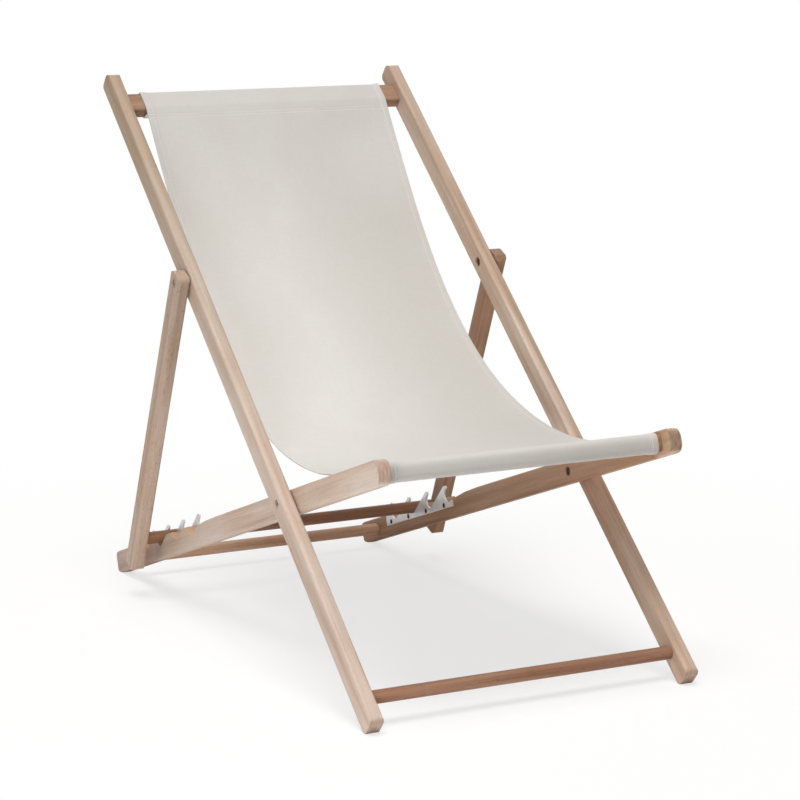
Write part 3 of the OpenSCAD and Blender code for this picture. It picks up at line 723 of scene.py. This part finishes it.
# %% Rows and columns of the cloth
HALF_TOP, HALF_FRONT = 0.2195, 0.2185
HEM, SEW_IN, ROW_GAP, FIRST_ROW = 0.012, 0.0100, 0.0055, 0.002
TOP_STEP, PANEL_STEP, FRONT_STEP = 0.0016, 0.004, 0.0020
BESIDE_SEAM, CLEAR_OF_SEAM = 0.0012, 0.0022
EDGE_MM = [0, 0.5, 1.2, 3, 6, 8.6, 9.4, 10, 10.6, 11.4, 12.6, 15, 20, 27]
INNER_FROM, INNER_COLUMNS = 0.035, 44
seam_ends = ((PANEL_START + SEAM_TOP_DEPTH, -1), (PANEL_STOP, -1), (0, 1), (CLOTH_LENGTH, -1))
sewn_rows = [end + way * inset for end, way in seam_ends for inset in (FIRST_ROW, FIRST_ROW + ROW_GAP)]
rows = set(np.arange(0, PANEL_START, TOP_STEP).round(5))
rows |= set(np.arange(PANEL_START, PANEL_STOP, PANEL_STEP).round(5))
rows |= set(np.arange(PANEL_STOP, CLOTH_LENGTH, FRONT_STEP).round(5)) | {round(CLOTH_LENGTH, 5)}
rows = [r for r in sorted(rows) if min(abs(r - s) for s in sewn_rows) > CLEAR_OF_SEAM]
rows = np.array(sorted(rows + [s + d for s in sewn_rows for d in (-BESIDE_SEAM, 0, BESIDE_SEAM)]))
inner = np.linspace(-HALF_TOP + INNER_FROM, HALF_TOP - INNER_FROM, INNER_COLUMNS)
columns = np.concatenate([[-HALF_TOP + e * MM for e in EDGE_MM], inner,
                          [HALF_TOP - e * MM for e in reversed(EDGE_MM)]])
print(len(rows), "rows and", len(columns), "columns")


# %% Soft steps, bells and wandering values
def smooth(value, low, high):
    share = np.clip((value - low) / (high - low), 0, 1)
    return share * share * (3 - 2 * share)


def bell(value, width):
    return np.exp(-(value / width) ** 2)


def wander(a, b, seed):
    return np.vectorize(lambda p, q: noise.noise(Vector((p, q, seed))))(a, b)


print("half way up a soft step:", float(smooth(0.5, 0, 1)))

# %% [markdown]
# The heights read two maps that run over the whole cloth: down it, 0 at the top bar and
# 1 at the front bar, and across it, -1 at the left edge and 1 at the right edge.

# %% Large shape of the cloth
NARROWER, HOLLOW = 0.0022, 0.0030
TIGHTER, TIGHTER_AT, TIGHTER_REACH = 0.0080, 0.68, 0.22
BAR_REACH = 0.10
run_down, x_flat = np.meshgrid(rows, columns, indexing="ij")
down = (run_down - PANEL_START) / (PANEL_STOP - PANEL_START)
sideways = x_flat / HALF_TOP
between_bars = np.clip(down, 0, 1)
free = smooth(down, 0.0, BAR_REACH) * (1 - smooth(down, 1 - BAR_REACH, 1.0))
half_width = HALF_TOP + (HALF_FRONT - HALF_TOP) * between_bars - NARROWER * np.sin(pi * between_bars)
x_drawn = x_flat * half_width / HALF_TOP
lean = TIGHTER * sideways * bell(down - TIGHTER_AT, TIGHTER_REACH)
hollow = -HOLLOW * (1 - sideways * sideways) * np.sin(pi * between_bars)
print("narrowest", round(2 * float(half_width.min()) / MM, 1), "mm")


# %% Folds, dents and puckers
def corner_folds(side, height, across_turns, down_turns, reach, begins, full):
    """Waves that start at a top corner and run down and inwards."""
    wave = np.sin(2 * pi * (across_turns * (1 - side) + down_turns * down))
    return height * wave * bell(down, reach) * smooth(side, begins, full)


# Height, turns across, turns down and seed of the wide and the small dents
DENTS = ((0.0011, 2.1, 3.2, 3.0), (0.0004, 6.5, 9.0, 7.0))
PUCKER, PUCKER_REACH, PUCKERS_PER_METRE, PUCKER_LEAST = 0.00045, 0.0035, 75, 0.6
OTHER_HEM, PUCKER_SEED = 4.0, 1.0
from_edge = HALF_TOP - np.abs(x_flat)
folds = corner_folds(sideways, 0.0011, across_turns=1.5, down_turns=2.3, reach=0.26, begins=0.1, full=0.8)
folds += corner_folds(-sideways, 0.0007, across_turns=1.2, down_turns=1.9, reach=0.20, begins=0.2, full=0.9)
drift = sum(height * wander(sideways * across_turns, down * down_turns, seed)
            for height, across_turns, down_turns, seed in DENTS)
pull = PUCKER_LEAST + wander(run_down * PUCKERS_PER_METRE, np.sign(x_flat) * OTHER_HEM, PUCKER_SEED)
pucker = -PUCKER * pull * bell(from_edge - SEW_IN, PUCKER_REACH)
shape = free * (lean + hollow + folds + drift) + pucker
print("deepest hollow", round(float(shape.min()) / MM, 1), "mm")

# %% Hems, grooves and the rounded edge
SEW_GROOVE, SEW_WIDTH, SEAM_GROOVE, SEAM_WIDTH, SEAM_INSET = 0.00040, 0.0007, 0.00035, 0.0010, 0.002
EDGE_ROUND, EDGE_LEAST = 0.0013, 0.35
HEM_FULL, HEM_GONE = HEM - 0.0007, HEM + 0.0009
OUTER_HEM, OUTER_HEM_AT_BARS = 0.0005, 0.0006
INNER_HEM, INNER_HEM_FREE, INNER_THINNER = 0.0002, 0.0010, 0.0001
hem = 1 - smooth(from_edge, HEM_FULL, HEM_GONE)
groove = -SEW_GROOVE * bell(from_edge - SEW_IN, SEW_WIDTH)
for row in sewn_rows:
    groove = groove - SEAM_GROOVE * bell(run_down - row, SEAM_WIDTH) * (from_edge > SEAM_INSET)
roundness = np.sqrt(np.clip(1 - (1 - np.clip(from_edge / EDGE_ROUND, 0, 1)) ** 2, 0, 1))
edge = EDGE_LEAST + (1 - EDGE_LEAST) * roundness
out_side = edge * (CLOTH / 2 + hem * (OUTER_HEM + OUTER_HEM_AT_BARS * (1 - free))) + groove
in_side = edge * (CLOTH / 2 - INNER_THINNER + hem * (INNER_HEM + INNER_HEM_FREE * free)) + groove * free
print("hem", round(float((out_side + in_side).max()) / MM, 1), "mm thick")

# %% [markdown]
# The strip becomes one closed mesh: an outer face, an inner face and narrow walls
# round the edge. Its map is laid flat in metres, as the cloth was before sewing, and
# the weave reads that map.

# %% Points of the sling
centre = np.column_stack([np.interp(rows, run, line[:, k]) for k in (0, 1)])
fine_away = outward(line)
away = np.column_stack([np.interp(rows, run, fine_away[:, k]) for k in (0, 1)])
away /= np.linalg.norm(away, axis=1)[:, None]


def face_points(height):
    return np.stack([x_drawn, centre[:, 0, None] + away[:, 0, None] * height,
                     centre[:, 1, None] + away[:, 1, None] * height], axis=-1)


outer_face, inner_face = face_points(shape + out_side), face_points(shape - in_side)
n_rows, n_columns = x_flat.shape
count = n_rows * n_columns
print("outer face", count, "points")

# %% Faces of the sling
index = np.arange(count).reshape(n_rows, n_columns)
a, b, c, d = index[:-1, :-1].ravel(), index[1:, :-1].ravel(), index[1:, 1:].ravel(), index[:-1, 1:].ravel()
quads = np.vstack([np.column_stack([a, b, c, d]), count + np.column_stack([a, d, c, b])])


def wall(first, second):
    return np.column_stack([first, first + count, second + count, second])


left_edge, right_edge = index[:, 0], index[:, -1]
quads = np.vstack([quads, wall(left_edge[:-1], left_edge[1:]), wall(right_edge[1:], right_edge[:-1]),
                   wall(index[0, 1:], index[0, :-1]), wall(index[-1, :-1], index[-1, 1:])])
print(len(quads), "faces in the closed strip")

# %% Sling mesh
mesh = bpy.data.meshes.new("canvas_sling")
both_faces = np.vstack([outer_face.reshape(-1, 3), inner_face.reshape(-1, 3)])
mesh.from_pydata(both_faces.tolist(), [], quads.tolist())
flat_map = np.tile(np.column_stack([x_drawn.ravel(), run_down.ravel()]), (2, 1))
corner = np.zeros(len(mesh.loops), np.int32)
mesh.loops.foreach_get("vertex_index", corner)
mesh.uv_layers.new(name="UVMap").data.foreach_set("uv", flat_map[corner].ravel().astype(np.float32))
mesh.polygons.foreach_set("use_smooth", np.ones(len(mesh.polygons), bool))
mesh.materials.append(canvas)
sling = bpy.data.objects.new("canvas_sling", mesh)
bpy.context.scene.collection.objects.link(sling)
print("sling has", len(mesh.vertices), "points and", len(mesh.polygons), "faces")

# %% [markdown]
# The seams are sewn with a slightly paler, twisted cotton thread. One stitch is 2.4 mm
# long, so a little roughness from the twist is all that can be seen on it.

# %% Sewing thread
TWIST_PER_METRE = 1500.0


def cotton_thread():
    material, tree = new_material("cotton_sewing_thread")
    place = add_node(tree, "ShaderNodeTexCoord").outputs["Object"]
    twist = add_node(tree, "ShaderNodeTexNoise", {
        "Vector": place, "Scale": TWIST_PER_METRE, "Detail": 1.0}).outputs["Fac"]
    colour = add_node(tree, "ShaderNodeValToRGB", {"Fac": twist},
                      stops=[(0.35, linear("#EBE8E1")), (0.65, linear("#F9F7F3"))])
    bump = add_node(tree, "ShaderNodeBump", {"Height": twist, "Strength": 0.4, "Distance": 0.1 * MM})
    shader = add_node(tree, "ShaderNodeBsdfPrincipled", {
        "Base Color": colour.outputs["Color"], "Roughness": 0.7, "Sheen Weight": 0.2,
        "Normal": bump.outputs["Normal"]})
    add_node(tree, "ShaderNodeOutputMaterial", {"Surface": shader.outputs["BSDF"]})
    return material


thread = cotton_thread()
print("thread colour varies every", round(1000 / TWIST_PER_METRE, 2), "mm")

# %% [markdown]
# The stitches repeat along paths: one row in each side hem and two rows across each
# seam. The paths are rows and columns of the cloth itself. Geometry Nodes turns them
# into curves, cuts them at the stitch pitch and puts one short thread at each cut. The
# sizes are the tree's inputs, so another sewing machine is a matter of three numbers.

# %% Stitch tree
STITCH_SIZES = {"Stitch pitch": 0.003, "Stitch length": 0.0024, "Thread thickness": 0.0007}


def stitch_tree():
    tree = bpy.data.node_groups.new("stitch_rows", "GeometryNodeTree")
    tree.interface.new_socket("Geometry", in_out="INPUT", socket_type="NodeSocketGeometry")
    for name, size in STITCH_SIZES.items():
        tree.interface.new_socket(name, in_out="INPUT", socket_type="NodeSocketFloat").default_value = size
    wears = tree.interface.new_socket("Thread", in_out="INPUT", socket_type="NodeSocketMaterial")
    tree.interface.new_socket("Geometry", in_out="OUTPUT", socket_type="NodeSocketGeometry")
    given = add_node(tree, "NodeGroupInput").outputs
    path = add_node(tree, "GeometryNodeMeshToCurve", {"Mesh": given["Geometry"]})
    cuts = add_node(tree, "GeometryNodeResampleCurve", {
        "Curve": path.outputs["Curve"], "Length": given["Stitch pitch"]}, mode="LENGTH")
    ball = add_node(tree, "GeometryNodeMeshUVSphere", {"Segments": 6, "Rings": 4, "Radius": 0.5})
    size = add_node(tree, "ShaderNodeCombineXYZ", {
        "X": given["Stitch length"], "Y": given["Thread thickness"], "Z": given["Thread thickness"]})
    one = add_node(tree, "GeometryNodeTransform", {
        "Geometry": ball.outputs["Mesh"], "Scale": size.outputs["Vector"]})
    tangent = add_node(tree, "GeometryNodeInputTangent")
    turned = add_node(tree, "FunctionNodeAlignRotationToVector", {
        "Vector": tangent.outputs["Tangent"]}, axis="X")
    many = add_node(tree, "GeometryNodeInstanceOnPoints", {
        "Points": cuts.outputs["Curve"], "Instance": one.outputs["Geometry"],
        "Rotation": turned.outputs["Rotation"]})
    real = add_node(tree, "GeometryNodeRealizeInstances", {"Geometry": many.outputs["Instances"]})
    soft = add_node(tree, "GeometryNodeSetShadeSmooth", {"Geometry": real.outputs["Geometry"]})
    dressed = add_node(tree, "GeometryNodeSetMaterial", {
        "Geometry": soft.outputs["Geometry"], "Material": given["Thread"]})
    add_node(tree, "NodeGroupOutput", {"Geometry": dressed.outputs["Geometry"]})
    return tree, wears.identifier


stitch_rows, thread_socket = stitch_tree()
print("stitch tree with", len(stitch_rows.nodes), "nodes")


# %% Stitch paths
def nearest(values, target):
    return int(np.argmin(np.abs(values - target)))


ROWS_LEFT_BARE, COLUMNS_LEFT_BARE = 2, 4
sew_left, sew_right = nearest(columns, -HALF_TOP + SEW_IN), nearest(columns, HALF_TOP - SEW_IN)
hem_rows = slice(ROWS_LEFT_BARE, -ROWS_LEFT_BARE)
seen_inside = slice(nearest(rows, PANEL_START), nearest(rows, PANEL_STOP))
seam_columns = slice(COLUMNS_LEFT_BARE, n_columns - COLUMNS_LEFT_BARE)
paths = [outer_face[hem_rows, sew_left], outer_face[hem_rows, sew_right],
         inner_face[seen_inside, sew_left], inner_face[seen_inside, sew_right]]
paths += [outer_face[nearest(rows, row), seam_columns] for row in sewn_rows]
points, links = [], []
for path in paths:
    first = len(points)
    points += path.tolist()
    links += [(first + k, first + k + 1) for k in range(len(path) - 1)]
print(len(paths), "rows of stitches")

# %% Sew
path_mesh = bpy.data.meshes.new("stitch_paths")
path_mesh.from_pydata(points, links, [])
path_object = bpy.data.objects.new("stitch_paths", path_mesh)
bpy.context.scene.collection.objects.link(path_object)
modifier = path_object.modifiers.new("stitches", "NODES")
modifier.node_group = stitch_rows
modifier[thread_socket] = thread
made = path_object.evaluated_get(bpy.context.evaluated_depsgraph_get())
stitch_mesh = bpy.data.meshes.new_from_object(made)
stitch_mesh.name = "sling_stitches"
path_object.modifiers.clear()
bpy.data.objects.remove(path_object)
stitches = bpy.data.objects.new("sling_stitches", stitch_mesh)
bpy.context.scene.collection.objects.link(stitches)
print("stitches:", len(stitch_mesh.polygons), "faces")

# %% [markdown]
# The sling and its stitches stay where they were drawn, and the CAD model's own sling
# is hidden. A cloth simulation could fold it with the frames, but would give one pose only.

# %% Fix the sling in place
for cloth_piece in (sling, stitches):
    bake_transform(cloth_piece)
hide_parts("sling")

# %% [markdown]
# A plain pale floor carries the shadow. Away from the chair it fades to plain white for
# the camera alone, so the picture ends in white without any extra light on the wood.

# %% Floor
FLOOR_HALF = 30
FADE_FROM, FADE_TO, WHITE_AT_CHAIR = 0.4, 1.6, 0.68
floor_mesh = bpy.data.meshes.new("studio_floor")
floor_corners = [(x * FLOOR_HALF, y * FLOOR_HALF, 0) for x, y in ((-1, -1), (1, -1), (1, 1), (-1, 1))]
floor_mesh.from_pydata(floor_corners, [], [(0, 1, 2, 3)])
floor = bpy.data.objects.new("studio_floor", floor_mesh)
bpy.context.scene.collection.objects.link(floor)
floor_paint, tree = new_material("matt_white_floor_paint")
place = add_node(tree, "ShaderNodeTexCoord")
distance = add_node(tree, "ShaderNodeVectorMath", {0: place.outputs["Object"]}, operation="LENGTH")
far = add_node(tree, "ShaderNodeMapRange", {
    "Value": distance.outputs["Value"], "From Min": FADE_FROM, "From Max": FADE_TO,
    "To Min": WHITE_AT_CHAIR, "To Max": 1.0}, interpolation_type="SMOOTHSTEP")
ray = add_node(tree, "ShaderNodeLightPath")
share = add_node(tree, "ShaderNodeMath", {
    0: far.outputs["Result"], 1: ray.outputs["Is Camera Ray"]}, operation="MULTIPLY")
matt = add_node(tree, "ShaderNodeBsdfDiffuse", {"Color": linear("#FAFAFA")})
glow = add_node(tree, "ShaderNodeEmission", {"Color": linear("#FFFFFF"), "Strength": 1.0})
mixed = add_node(tree, "ShaderNodeMixShader", {
    "Fac": share.outputs["Value"], 1: matt.outputs["BSDF"], 2: glow.outputs["Emission"]})
add_node(tree, "ShaderNodeOutputMaterial", {"Surface": mixed.outputs["Shader"]})
floor_mesh.materials.append(floor_paint)
print("floor fades to white between", FADE_FROM, "and", FADE_TO, "m")

# %% [markdown]
# The surround does two jobs. What the camera and shiny metal see of it is plain white,
# and to everything else it is a weak light that softens the shadows.

# %% World
world = bpy.data.worlds.new("studio")
world.use_nodes = True
world.node_tree.nodes.clear()
tree = world.node_tree
ray = add_node(tree, "ShaderNodeLightPath")
seen = add_node(tree, "ShaderNodeMath", {
    0: ray.outputs["Is Camera Ray"], 1: ray.outputs["Is Glossy Ray"]}, operation="MAXIMUM")
seen = add_node(tree, "ShaderNodeMath", {
    0: seen.outputs["Value"], 1: ray.outputs["Is Transmission Ray"]}, operation="MAXIMUM")
soft_light = add_node(tree, "ShaderNodeBackground", {"Color": linear("#FBFAFA"), "Strength": 0.17})
white = add_node(tree, "ShaderNodeBackground", {"Color": linear("#FFFFFF"), "Strength": 1.0})
sky = add_node(tree, "ShaderNodeMixShader", {
    "Fac": seen.outputs["Value"], 1: soft_light.outputs["Background"], 2: white.outputs["Background"]})
add_node(tree, "ShaderNodeOutputWorld", {"Surface": sky.outputs["Shader"]})
bpy.context.scene.world = world
print("surround ready")

# %% [markdown]
# One wide lamp high above gives the soft shadow under the seat. A small one low on the
# left lifts the rails that face it, and a weak one behind lifts the backs of the rails.
# The Standard view shows colours as they were written, without a film's curve.


# %% Soft lights
def soft_box(name, place, aim, size, power, colour):
    data = bpy.data.lights.new(name, "AREA")
    data.shape, data.size, data.energy = "DISK", size, power
    data.color = linear(colour)[:3]
    lamp = bpy.data.objects.new(name, data)
    lamp.location = place
    lamp.rotation_euler = (Vector(aim) - Vector(place)).to_track_quat("-Z", "Y").to_euler()
    bpy.context.scene.collection.objects.link(lamp)


soft_box("overhead", place=(-2.2, -2.0, 12.4), aim=(0, 0, 0.4), size=8.8, power=1430, colour="#FFFDFB")
soft_box("low_left", place=(-1.5, -1.7, 0.25), aim=(-0.3, -0.4, 0.1), size=0.8, power=14, colour="#FFFCFB")
soft_box("behind", place=(1.4, 2.6, 2.2), aim=(0, 0, 0.5), size=2.0, power=12, colour="#FFFFFF")
bpy.context.scene.view_settings.view_transform = "Standard"
print("three soft lights")
